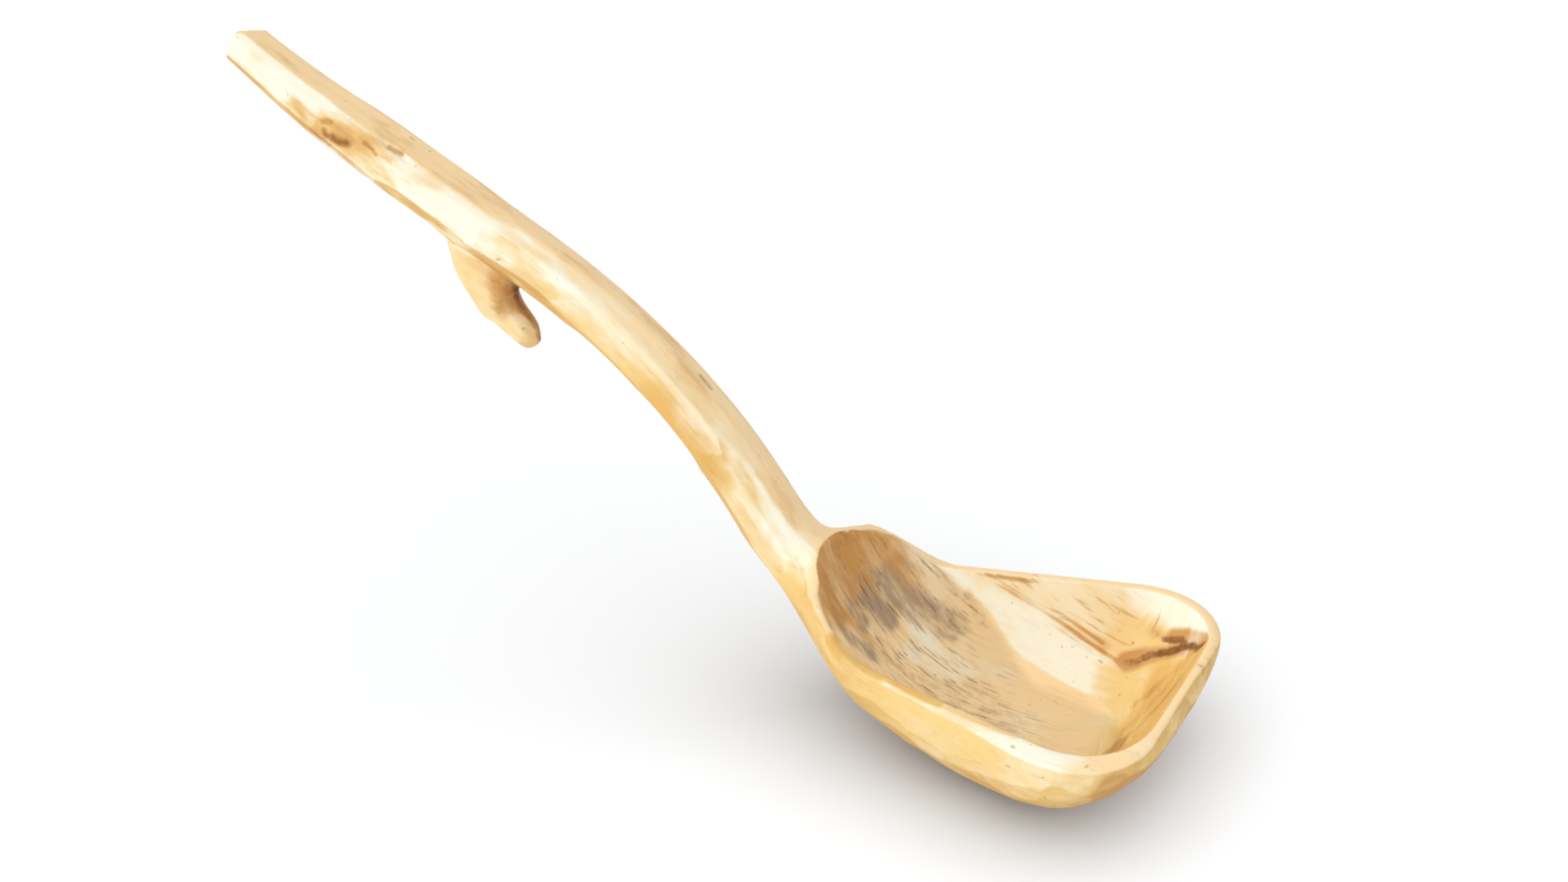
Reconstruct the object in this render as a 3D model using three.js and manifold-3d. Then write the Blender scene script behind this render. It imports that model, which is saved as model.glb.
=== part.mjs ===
// A wooden ladle carved from one crooked branch: a fan-shaped bowl, a neck, a bent shank with a hook
// under it, and a grip. Millimetres, +Z up. The origin is the middle of the flat base, and the lip points
// along +X. The outside is the same on both sides of the XZ plane, and the hollow sits a little to the left.
import * as THREE from "three";
import { mergeVertices } from "three/addons/utils/BufferGeometryUtils.js";
import Module from "manifold-3d";

const { clamp, degToRad, lerp, smoothstep } = THREE.MathUtils;

// Seams: the wood is one piece, and thin gaps part its regions.
const SEAM = 0.3;
const BOWL_SEAM_BACK = 44; // from the end of the level rim to the seam between bowl and neck
const NECK_SEAM_BACK = 92; // from the end of the level rim to the seam between neck and shank
const SHANK_PAST_BEND = 42; // how far the shank runs on past the bend, to the seam with the grip

// Bowl, outside
const RIM_HEIGHT = 39.5; // widest line of the bowl above the base
const BASE_TRIM = 1.4; // how much of the round bottom is cut away to make the flat base
const LIP_REACH = 56.6; // from the middle of the base to the lip
const RIM_LENGTH = 98; // level rim, from the lip back to where it starts to climb
const FRONT_WIDTH = 109;
const HEEL_WIDTH = 72; // where the rim starts to climb
const FLARE_LENGTH = 66; // stretch over which the heel's width grows to the front width
const LIP_CORNER_RADIUS = 27.5;
const LIP_THICKNESS = 7;
const LIP_SLOPE_LENGTH = 45; // stretch of the underside that curves up to the lip
const LIP_SLOPE_FULLNESS = 1.5; // 1 is a straight slope, 2 is a round one
const HEEL_SLOPE_FRONT = 36; // the underside starts to climb this far in front of the rim's climb
const RIM_CROWN = 3; // how far the top of the rim stands above the widest line
const RIM_BACK_RISE = 9; // how far the rim's back corners stand above the middle line
const RIM_BACK_LENGTH = 56; // stretch along the middle line that those corners take up

// Bowl, inside
const FLOOR_THICKNESS = 9;
const LIP_WALL = 4;
const LEFT_WALL_FRONT = 4; // at the front width, on the +Y side
const RIGHT_WALL_FRONT = 8.5;
const SIDE_WALL_BACK = 4;
const HOLLOW_BACK = 31.5; // how far the hollow reaches back past the start of the climb
const HOLLOW_BACK_ROUND = 24; // length of its round back end
const HOLLOW_CORNER_TIGHTER = 3; // the hollow's front corners are this much tighter than the lip's
const HOLLOW_STEEPNESS = 3.2; // higher makes a flatter floor and steeper walls

// Middle line of the handle, from the level rim back to the grip's end
const HEEL_RADIUS = 64;
const NECK_SLOPE = 55; // degrees above level
const NECK_STRAIGHT = 8.5;
const BEND_RADIUS = 218;
const GRIP_SLOPE = 26; // degrees above level
const GRIP_STRAIGHT = 70;
const GRIP_SWEEP_RADIUS = 390; // the last stretch sweeps up a little
const GRIP_SWEEP_LENGTH = 53;

// Cross sections of the handle
const NECK_WIDTH = 20.8;
const NECK_THICKNESS = 20.8;
const SHANK_WIDTH = 18.8;
const SHANK_THICKNESS = 19;
const GRIP_END_WIDTH = 13.8;
const GRIP_END_THICKNESS = 13.6;
const GRIP_TAPER_LENGTH = 62;
const END_CHAMFER = 1.6;

// Hook, placed by the middle line of the handle
const HOOK_ROOT_PLACE = 13.5; // past the end of the bend
const HOOK_ROOT_LENGTH = 32; // along the handle, where the hook leaves it
const HOOK_ROOT_SUNK = 2; // how far the root starts inside the handle before it is cut to fit
const HOOK_FLARE = 0.5; // share of the hook over which the root narrows
const HOOK_REACH = 28; // from the root forward to the tip
const HOOK_DROP = 30; // from the handle's middle line down to the tip's middle
const HOOK_HEEL = 2; // how far the hook's outer bend leans forward of its root
const HOOK_THICKNESS = 12.6;
const HOOK_TIP_THICKNESS = 9.2;
const HOOK_TIP_ROUND = 0.18; // share of the hook that the round tip takes up
const HOOK_TIP_FLAT = 2.9; // across the small flat at the very end of the tip
const HOOK_WIDTH = 13; // across the ladle

// How round the cross sections are: 2 is an ellipse, higher is squarer.
const TOP_SQUARENESS = 2.2;
const BOWL_SQUARENESS = 2.3;
const HANDLE_SQUARENESS = 2.5;

// Fineness of the surfaces
const AROUND = 36;
const CORNER_RINGS = 8;
const BOWL_STEP = 8;
const HEEL_STEP = 5;
const HANDLE_STEP = 9;
const HOOK_RINGS = 13;
const HOOK_AROUND = 16;
const HOLLOW_SIDE_POINTS = 26;
const HOLLOW_LEVELS = [0.3, 0.5, 0.66, 0.79, 0.89, 0.96, 1];
const CUT_CLEAR = 30; // how far cutting bodies run past what they cut
const SAME_POINT = 1e-4; // points closer than this are one

const WOOD = { color: 0xe6c88f, roughness: 0.55, metalness: 0 };

const wasm = await Module();
wasm.setup();

// Booleans
function toSolid(geometry) {
  const bare = geometry.clone();
  bare.deleteAttribute("normal");
  bare.deleteAttribute("uv");
  const merged = mergeVertices(bare, SAME_POINT);
  return new wasm.Manifold(
    new wasm.Mesh({
      numProp: 3,
      vertProperties: new Float32Array(merged.attributes.position.array),
      triVerts: new Uint32Array(merged.index.array),
    }),
  );
}

function toGeometry(solid) {
  const mesh = solid.getMesh();
  const geometry = new THREE.BufferGeometry();
  geometry.setAttribute("position", new THREE.BufferAttribute(mesh.vertProperties, 3));
  geometry.setIndex(new THREE.BufferAttribute(mesh.triVerts, 1));
  geometry.computeVertexNormals();
  return geometry;
}

// A closed skin over rings of points, with a fan over each end.
function skin(rings) {
  const count = rings[0].length;
  const points = rings.flat();
  const triangles = [];
  for (let i = 0; i + 1 < rings.length; i++) {
    for (let j = 0; j < count; j++) {
      const k = (j + 1) % count;
      const [a, b] = [i * count + j, i * count + k];
      const [c, d] = [a + count, b + count];
      triangles.push(a, c, b, b, c, d);
    }
  }
  for (const last of [0, rings.length - 1]) {
    const middle = rings[last].reduce((sum, p) => sum.add(p), new THREE.Vector3()).divideScalar(count);
    const hub = points.push(middle) - 1;
    for (let j = 0; j < count; j++) {
      const [a, b] = [last * count + j, last * count + ((j + 1) % count)];
      triangles.push(...(last === 0 ? [hub, a, b] : [hub, b, a]));
    }
  }
  const geometry = new THREE.BufferGeometry().setFromPoints(points);
  geometry.setIndex(triangles);
  return geometry;
}

// Middle line: level under the rim, up the heel, straight up the neck, over the bend, along the grip.
const neckTurn = degToRad(NECK_SLOPE);
const gripTurn = degToRad(GRIP_SLOPE);
const heelAt = RIM_LENGTH;
const neckAt = heelAt + HEEL_RADIUS * neckTurn;
const bendAt = neckAt + NECK_STRAIGHT;
const gripAt = bendAt + BEND_RADIUS * (neckTurn - gripTurn);
const sweepAt = gripAt + GRIP_STRAIGHT;
const endAt = sweepAt + GRIP_SWEEP_LENGTH;
const stretches = [
  { length: RIM_LENGTH, bend: 0 },
  { length: neckAt - heelAt, bend: 1 / HEEL_RADIUS },
  { length: NECK_STRAIGHT, bend: 0 },
  { length: gripAt - bendAt, bend: -1 / BEND_RADIUS },
  { length: GRIP_STRAIGHT, bend: 0 },
  { length: GRIP_SWEEP_LENGTH, bend: 1 / GRIP_SWEEP_RADIUS },
];

// The place and slope of the middle line at a distance back from the lip.
function middleAt(distance) {
  let left = distance;
  let slope = 0;
  let x = LIP_REACH;
  let z = RIM_HEIGHT;
  for (const { length, bend } of stretches) {
    const run = Math.min(left, length);
    const turned = slope + bend * run;
    if (bend === 0) {
      x -= run * Math.cos(slope);
      z += run * Math.sin(slope);
    } else {
      x -= (Math.sin(turned) - Math.sin(slope)) / bend;
      z += (Math.cos(slope) - Math.cos(turned)) / bend;
    }
    slope = turned;
    left -= run;
  }
  return { x, z, slope };
}

// Half width of the ladle at a distance back from the lip.
function halfWidthAt(distance) {
  if (distance < heelAt) {
    const flare = clamp((heelAt - distance) / FLARE_LENGTH, 0, 1);
    const side = lerp(HEEL_WIDTH, FRONT_WIDTH, flare) / 2;
    const round = Math.max(1 - distance / LIP_CORNER_RADIUS, 0);
    return side - LIP_CORNER_RADIUS * (1 - Math.sqrt(1 - round * round));
  }
  if (distance < neckAt) return lerp(HEEL_WIDTH, NECK_WIDTH, smoothstep(distance, heelAt, neckAt)) / 2;
  const slim = lerp(NECK_WIDTH, SHANK_WIDTH, smoothstep(distance, neckAt, gripAt));
  return lerp(slim, GRIP_END_WIDTH, smoothstep(distance, endAt - GRIP_TAPER_LENGTH, endAt)) / 2;
}

function handleHalfThicknessAt(distance) {
  const slim = lerp(NECK_THICKNESS, SHANK_THICKNESS, smoothstep(distance, neckAt, gripAt));
  return lerp(slim, GRIP_END_THICKNESS, smoothstep(distance, endAt - GRIP_TAPER_LENGTH, endAt)) / 2;
}

// How far the wood reaches below the middle line.
function depthAt(distance) {
  const full = RIM_HEIGHT + BASE_TRIM;
  const round = Math.max(1 - distance / LIP_SLOPE_LENGTH, 0);
  const share = (1 - round ** LIP_SLOPE_FULLNESS) ** (1 / LIP_SLOPE_FULLNESS);
  const bowl = lerp(LIP_THICKNESS, full, share);
  const climb = smoothstep(distance, heelAt - HEEL_SLOPE_FRONT, neckAt);
  return lerp(bowl, handleHalfThicknessAt(distance), climb);
}

// How far the wood reaches above its widest line.
function crownAt(distance) {
  return lerp(RIM_CROWN, handleHalfThicknessAt(distance), smoothstep(distance, heelAt, neckAt));
}

// The rim's back corners: how far the widest line stands above the middle line.
function backRiseAt(distance) {
  const along = clamp((distance - heelAt) / RIM_BACK_LENGTH, 0, 1);
  return RIM_BACK_RISE * Math.sin(Math.PI * along) ** 2;
}

// Sections stand upright in the bowl and turn square to the middle line by the start of the bend.
function tiltAt(distance) {
  return middleAt(distance).slope * smoothstep(distance, heelAt + HOLLOW_BACK, bendAt);
}

// One cross section, as a ring of points. grow makes it larger all round.
function sectionAt(distance, grow = 0) {
  const { x, z } = middleAt(distance);
  const tilt = tiltAt(distance);
  const rise = backRiseAt(distance);
  const halfWidth = halfWidthAt(distance) + grow;
  const crown = crownAt(distance) + grow;
  const depth = depthAt(distance) + rise + grow;
  const under = lerp(BOWL_SQUARENESS, HANDLE_SQUARENESS, smoothstep(distance, heelAt, bendAt));
  const over = lerp(TOP_SQUARENESS, HANDLE_SQUARENESS, smoothstep(distance, heelAt, bendAt));
  const ring = [];
  for (let j = 0; j < AROUND; j++) {
    const angle = (j / AROUND) * 2 * Math.PI;
    const [side, up] = [Math.cos(angle), Math.sin(angle)];
    const power = 2 / (up > 0 ? over : under);
    const y = halfWidth * Math.sign(side) * Math.abs(side) ** power;
    const height = rise + (up > 0 ? crown : depth) * Math.sign(up) * Math.abs(up) ** power;
    ring.push(new THREE.Vector3(x + height * Math.sin(tilt), y, z + height * Math.cos(tilt)));
  }
  return ring;
}

// Distances from one place to another in even steps.
function steps(from, to, step) {
  const count = Math.max(1, Math.round((to - from) / step));
  return Array.from({ length: count + 1 }, (_, i) => lerp(from, to, i / count));
}

// The body between two places along the middle line, as a skin over sections.
function bodyBetween(from, to, step, grow = 0) {
  return skin(steps(from, to, step).map((distance) => sectionAt(distance, grow)));
}

// Seams, as distances back from the lip
const bowlSeam = heelAt + BOWL_SEAM_BACK;
const neckSeam = heelAt + NECK_SEAM_BACK;
const gripSeam = gripAt + SHANK_PAST_BEND;

// Hollow of the bowl: level curves from the floor's middle out to the rim, then straight up past the rim.
function hollowGeometry() {
  const heelX = middleAt(heelAt).x;
  const front = LIP_REACH - LIP_WALL;
  const back = heelX - HOLLOW_BACK;
  const cornerRadius = LIP_CORNER_RADIUS - HOLLOW_CORNER_TIGHTER;
  const heelHalf = HEEL_WIDTH / 2 - SIDE_WALL_BACK;
  const middle = new THREE.Vector3((front + heelX) / 2, 0, FLOOR_THICKNESS);

  const halfAt = (x, frontHalf) => {
    const side = lerp(heelHalf, frontHalf, (x - heelX) / FLARE_LENGTH);
    const backRound = clamp((back + HOLLOW_BACK_ROUND - x) / HOLLOW_BACK_ROUND, 0, 1);
    const frontRound = clamp(1 - (front - x) / cornerRadius, 0, 1);
    const corner = cornerRadius * (1 - Math.sqrt(1 - frontRound * frontRound));
    return Math.min(side, frontHalf) * Math.sqrt(1 - backRound * backRound) - corner;
  };
  // The rim's height over a place along the bowl: the climb at the back is an arc with raised corners.
  const rimAt = (x) => {
    const climb = Math.max(heelX - x, 0);
    const distance = heelAt + HEEL_RADIUS * Math.asin(climb / HEEL_RADIUS);
    return middleAt(distance).z + backRiseAt(distance) + RIM_CROWN;
  };

  // One side of the outline at the rim, from back to front. sign is 1 on the left and -1 on the right.
  const sideOutline = (wall, sign) => {
    const points = [];
    for (let i = 0; i <= HOLLOW_SIDE_POINTS; i++) {
      const x = lerp(back, front, 0.5 - 0.5 * Math.cos((Math.PI * i) / HOLLOW_SIDE_POINTS));
      const half = Math.max(halfAt(x, FRONT_WIDTH / 2 - wall), 0);
      points.push(new THREE.Vector3(x, sign * half, rimAt(x)));
    }
    return points;
  };

  const left = sideOutline(LEFT_WALL_FRONT, 1);
  const right = sideOutline(RIGHT_WALL_FRONT, -1);
  const outline = [...left, ...right.slice(1).reverse()];
  const rings = HOLLOW_LEVELS.map((level) =>
    outline.map((edge) => {
      const point = middle.clone().lerp(edge, level);
      point.z = lerp(FLOOR_THICKNESS, edge.z, level ** HOLLOW_STEEPNESS);
      return point;
    }),
  );
  rings.push(outline.map((edge) => edge.clone().setZ(edge.z + CUT_CLEAR)));
  return skin(rings);
}

function bowlGeometry() {
  const places = [];
  for (let i = 0; i < CORNER_RINGS; i++) {
    places.push(LIP_CORNER_RADIUS * (1 - Math.cos((i / CORNER_RINGS) * (Math.PI / 2))));
  }
  places.push(...steps(LIP_CORNER_RADIUS, heelAt, BOWL_STEP));
  places.push(...steps(heelAt, bowlSeam, HEEL_STEP).slice(1));
  const block = toSolid(skin(places.map((distance) => sectionAt(distance))));
  const ground = new THREE.BoxGeometry(4 * RIM_LENGTH, 2 * FRONT_WIDTH, 2 * CUT_CLEAR);
  ground.translate(0, 0, -CUT_CLEAR);
  return toGeometry(block.subtract(toSolid(hollowGeometry())).subtract(toSolid(ground)));
}

function neckGeometry() {
  return bodyBetween(bowlSeam + SEAM, neckSeam, HEEL_STEP);
}

function shankGeometry() {
  return bodyBetween(neckSeam + SEAM, gripSeam, HANDLE_STEP);
}

function gripGeometry() {
  const places = steps(gripSeam + SEAM, endAt - END_CHAMFER, HANDLE_STEP);
  const rings = places.map((distance) => sectionAt(distance));
  rings.push(sectionAt(endAt, -END_CHAMFER));
  return skin(rings);
}

// The hook drops from the shank, bends forward and tapers to its tip. Its root is cut to fit the handle.
function hookGeometry() {
  const { x, z, slope } = middleAt(gripAt);
  const place = (along, drop) =>
    new THREE.Vector3(
      x - along * Math.cos(slope) - drop * Math.sin(slope),
      0,
      z + along * Math.sin(slope) - drop * Math.cos(slope),
    );
  const start = SHANK_THICKNESS / 2 - HOOK_ROOT_SUNK;
  const line = new THREE.QuadraticBezierCurve3(
    place(HOOK_ROOT_PLACE, start),
    place(HOOK_ROOT_PLACE - HOOK_HEEL, HOOK_DROP),
    place(HOOK_ROOT_PLACE - HOOK_REACH, HOOK_DROP),
  );
  const across = new THREE.Vector3(0, 1, 0);
  const drawIn = 1 - (HOOK_TIP_FLAT / HOOK_TIP_THICKNESS) ** 2;
  const rings = [];
  for (let i = 0; i < HOOK_RINGS; i++) {
    const along = i / (HOOK_RINGS - 1);
    const centre = line.getPoint(along);
    const outward = across.clone().cross(line.getTangent(along));
    const flare = Math.max(1 - along / HOOK_FLARE, 0) ** 2;
    const stem = lerp(HOOK_THICKNESS, HOOK_TIP_THICKNESS, smoothstep(along, 0, 1));
    const tip = Math.max(along - 1 + HOOK_TIP_ROUND, 0) / HOOK_TIP_ROUND;
    const round = Math.sqrt(1 - drawIn * tip ** 2);
    const halfLength = (lerp(stem, HOOK_ROOT_LENGTH, flare) / 2) * round;
    const halfWidth = (lerp(HOOK_TIP_THICKNESS, HOOK_WIDTH, 1 - along) / 2) * round;
    const ring = [];
    for (let j = 0; j < HOOK_AROUND; j++) {
      const angle = (j / HOOK_AROUND) * 2 * Math.PI;
      const point = centre.clone().addScaledVector(across, halfWidth * Math.cos(angle));
      ring.push(point.addScaledVector(outward, halfLength * Math.sin(angle)));
    }
    rings.push(ring);
  }
  const handle = toSolid(bodyBetween(neckSeam + SEAM, endAt, HANDLE_STEP, SEAM));
  const pieces = toSolid(skin(rings)).subtract(handle).decompose();
  const lowest = pieces.reduce((a, b) => (a.boundingBox().min[2] < b.boundingBox().min[2] ? a : b));
  return toGeometry(lowest);
}

// The ladle
const ladle = new THREE.Group();
const regions = {
  bowl: bowlGeometry,
  neck: neckGeometry,
  shank: shankGeometry,
  hook: hookGeometry,
  grip: gripGeometry,
};
for (const [name, make] of Object.entries(regions)) {
  const mesh = new THREE.Mesh(make(), new THREE.MeshStandardMaterial(WOOD));
  mesh.name = name;
  ladle.add(mesh);
}

export default ladle;
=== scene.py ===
"""A carved wooden ladle, cut from one crooked branch, standing on its bowl on a white surface.

The solids of the frame are melted into one block of wood, smoothed, and cut with flat knife facets.
The block is then parted again at the seams, so that every named region keeps a closed mesh of its own.
Lengths are in metres, angles in degrees, colours in linear light.
"""

import math

import bmesh
import bpy
import numpy as np
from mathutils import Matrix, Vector


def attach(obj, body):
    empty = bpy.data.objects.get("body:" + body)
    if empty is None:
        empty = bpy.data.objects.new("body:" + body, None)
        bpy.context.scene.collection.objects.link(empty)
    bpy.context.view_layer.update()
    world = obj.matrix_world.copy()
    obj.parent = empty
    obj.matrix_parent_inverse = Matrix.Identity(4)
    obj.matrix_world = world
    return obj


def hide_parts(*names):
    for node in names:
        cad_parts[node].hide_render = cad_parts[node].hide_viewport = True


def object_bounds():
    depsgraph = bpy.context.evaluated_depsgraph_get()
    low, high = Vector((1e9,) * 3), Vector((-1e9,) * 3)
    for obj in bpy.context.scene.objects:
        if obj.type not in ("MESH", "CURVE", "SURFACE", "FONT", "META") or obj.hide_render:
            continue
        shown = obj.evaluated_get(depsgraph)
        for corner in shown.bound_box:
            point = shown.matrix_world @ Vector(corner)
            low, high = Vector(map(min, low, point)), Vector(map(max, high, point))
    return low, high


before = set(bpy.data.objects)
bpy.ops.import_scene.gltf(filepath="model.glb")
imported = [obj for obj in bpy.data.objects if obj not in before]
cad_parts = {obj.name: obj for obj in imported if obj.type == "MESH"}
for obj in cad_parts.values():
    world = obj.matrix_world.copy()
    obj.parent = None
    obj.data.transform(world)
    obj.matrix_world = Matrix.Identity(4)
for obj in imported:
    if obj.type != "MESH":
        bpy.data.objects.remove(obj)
cad_low, cad_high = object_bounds()

# Where the camera stands
AIM = (-0.0889, 0.0, 0.0982)
AZIMUTH = 25.66
ELEVATION = 33.53
DISTANCE = 1.2207
LENS = 85.0
SENSOR = 36.0

# The middle line of the wood, from the lip back to the end of the grip
LIP_REACH = 0.0566
RIM_HEIGHT = 0.0395
RIM_LENGTH = 0.098
HEEL_RADIUS = 0.064
NECK_SLOPE = 55.0
NECK_STRAIGHT = 0.0085
BEND_RADIUS = 0.218
GRIP_SLOPE = 26.0
GRIP_STRAIGHT = 0.070
SWEEP_RADIUS = 0.390
SWEEP_LENGTH = 0.053
LINE_STEP = 0.0005

# Where the regions part, measured back along the middle line
NECK_FROM = 0.142
SHANK_FROM = 0.190
GRIP_FROM = 0.3203
SEAMS = (NECK_FROM, SHANK_FROM, GRIP_FROM)
REGIONS = ("bowl", "neck", "shank", "grip", "hook")
HOOK_MIDDLE = 0.292
HOOK_BELOW = 0.0112
HOOK_AROUND = 0.045  # the hook lies within this distance of its root
ROOT_REACH = 0.030  # how far round the root's middle its seam runs
ROOT_BAND = 0.003  # how far above and below that seam its faces are looked for

# Where the bowl turns into the handle, and the shank into the grip
HANDLE_FROM = (0.130, 0.152)
GRIP_LIKE = (0.285, 0.325)

# A place inside the bowl, which its hollow faces, and how far back the hollow reaches
HOLLOW_MIDDLE = (-0.005, 0, 0.025)
HOLLOW_BACK = -0.078

# The end of the grip: where it is stretched, and the two slanted cuts that rise across and above the wood
GRIP_END = 0.4022
END_FROM = (0.386, 0.402)
END_STRETCH = 0.003
END_RISE = (0.66, 0.75)
END_SLANT = 0.24
END_CHAMFER = 0.0016

# How the block is melted and smoothed
VOXEL = 0.0006
GROW = 0.00035  # closes the seams between the solids
FIRST_ROUNDS = 8
LATER_ROUNDS = 120
RIM_ROUNDS = 16
EDGE_ROUNDS = 30
FIGURE_ROUNDS = 5
FLATNESS = (0.90, 0.97)  # length of the mean direction, from an edge to smooth wood

# Long knife cuts along the handle: 0 is left, 90 up, 180 right, towards the camera
UNDER = 268
FLATS = (172, 90, 4, UNDER)
BEVELS = (131, 47, 316, 221)
LEANING = (90, 131)  # these lean to the right on the shank
SHANK_LEAN = 16
FLAT_DEPTH = 0.0013
BEVEL_DEPTH = 0.0005
CUT_PITCH = 0.036
CUT_WIDTH = 0.02
CUT_BAND = 0.002  # half the width of the ring of wood that a cut is measured on
CUT_SKIM = 0.0006  # the wood this close below its highest point gives a cut its slope
FIRST_CUT = GRIP_END - 0.010
LAST_CUT = 0.150
CUT_FADE = 1.4  # how fast a cut runs out at its ends, in depths
CUT_FACING = 0.4  # points that face less than this into the cut's direction are left alone
UNCUT_BY_HOOK = 0.036  # the underside stays whole this near the hook

# The way from the hook into its gap, in the straight coordinates
GAP_RISE = 0.867
GAP_FORWARD = 0.5

# How far the handle grows before it is cut: all of it, the hook's sides, its root, its gap and its outer edge
HANDLE_GROW = 0.0004
HOOK_SWELL = 0.0016
ROOT_SWELL = 0.0018
GAP_SWELL = 0.0026
OUTER_SWELL = 0.0020

# Broad cuts along the lower right edge, low on the shank and on the neck: middle, turn, depth and length
BROAD_CUTS = (
    (0.385, 208, 0.0008, 0.024),
    (0.352, 208, 0.0011, 0.024),
    (0.318, 206, 0.0011, 0.024),
    (0.284, 206, 0.0013, 0.024),
    (0.256, 210, 0.0011, 0.022),
    (0.238, 222, 0.0015, 0.024),
    (0.212, 318, 0.0014, 0.024),
    (0.207, 230, 0.0016, 0.024),
    (0.176, 220, 0.0012, 0.024),
    (0.163, 150, 0.0016, 0.038),
)

# Knife cuts on the hook: place along its run, turn (0 is right, 90 the side of the gap), lean to the tip
# and depth
HOOK_RUN = (0.56, 0, -0.83)
HOOK_CUTS = (
    (0.010, -45, 0, 0.0010),
    (0.029, -50, 18, 0.0022),
    (0.027, 4, 0, 0.0009),
    (0.011, -135, 0, 0.0010),
    (0.026, 178, 0, 0.0010),
)
HOOK_CUT_LENGTH = 0.013
HOOK_SCOOP = (0.010, 0.0110, 0.0085)
HOOK_SCOOP_RADIUS = 0.0080

# Small knife cuts on the outside of the bowl
BOWL_CUT_PITCH = 0.0085
BOWL_CUT_DEPTH = 0.00040
BOWL_CUT_REACH = 0.0105
BOWL_CUT_BACK = 0.155
BOWL_CUT_STEP = 5  # every so many points one may be the middle of a cut
BASE_CLEAR = 0.0006  # the base below this height stays flat

# The edge between the dull, shaded wood and the paler, lit wood in the hollow; it follows the key light's
# shadow of the rim, which is painted into the colour as well: places (back, across) that it runs through
SHADE_EDGE = (
    (0.0150, -0.0100),
    (0.0192, -0.0014),
    (0.0286, 0.0141),
    (0.0348, 0.0197),
    (0.0409, 0.0223),
    (0.0675, 0.0243),
    (0.0775, 0.0276),
    (0.0815, 0.0294),
    (0.0960, 0.0308),
)

# Colours of the wood, and of the paper that the ladle stands on; besides the wood's own colours, PALE also
# paints light on lit faces, and TAN, AMBER, OCHRE, GREY and BROWN also paint shade in places
PALE = (0.835, 0.80, 0.65)
CREAM = (0.825, 0.695, 0.465)
HONEY = (0.765, 0.545, 0.22)
AMBER = (0.67, 0.405, 0.12)
TAN = (0.86, 0.635, 0.350)
OCHRE = (0.54, 0.28, 0.085)
GREY = (0.37, 0.275, 0.19)
BROWN = (0.20, 0.075, 0.018)
PAPER = (0.396, 0.400, 0.405)

# Noise in the wood: stretch along the grain, grains per metre across it, and detail
FIBRE = (18, 1500, 3.0)
STREAK = (10, 420, 3.0)
DASH = (18, 1100, 1.5)
SPECK = (1.5, 600, 0.0)
CLOUD = (2.2, 85, 3.0)
PATCHES = (2.0, 420, 3.0)
CRUMBS = (1, 800, 3.0)

# Surface of the wood
GLOSS = 0.15
ROUGHNESS = (0.48, 0.62)
BUMP_STRENGTH = 0.25
BUMP_DEPTH = 0.0003

# Floor and light: a soft sky, a low key light on the ladle, and a wide one that shades the floor
FLOOR_REACH = 4.0
SKY_FROM = (-0.50, -0.45, 0.74)
SKY_TURN = (-0.7, 0.9)
SKY_BRIGHT = 1.15
SKY_DIM = 0.66
KEY = 1.02
KEY_FROM = (-0.575, -0.710, 0.407)
KEY_SPREAD = 2.0
SOFTBOX = 6.2
SOFTBOX_FROM = (0.56, -0.46, 1.0)
SOFTBOX_SPREAD = 125.0

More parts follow.
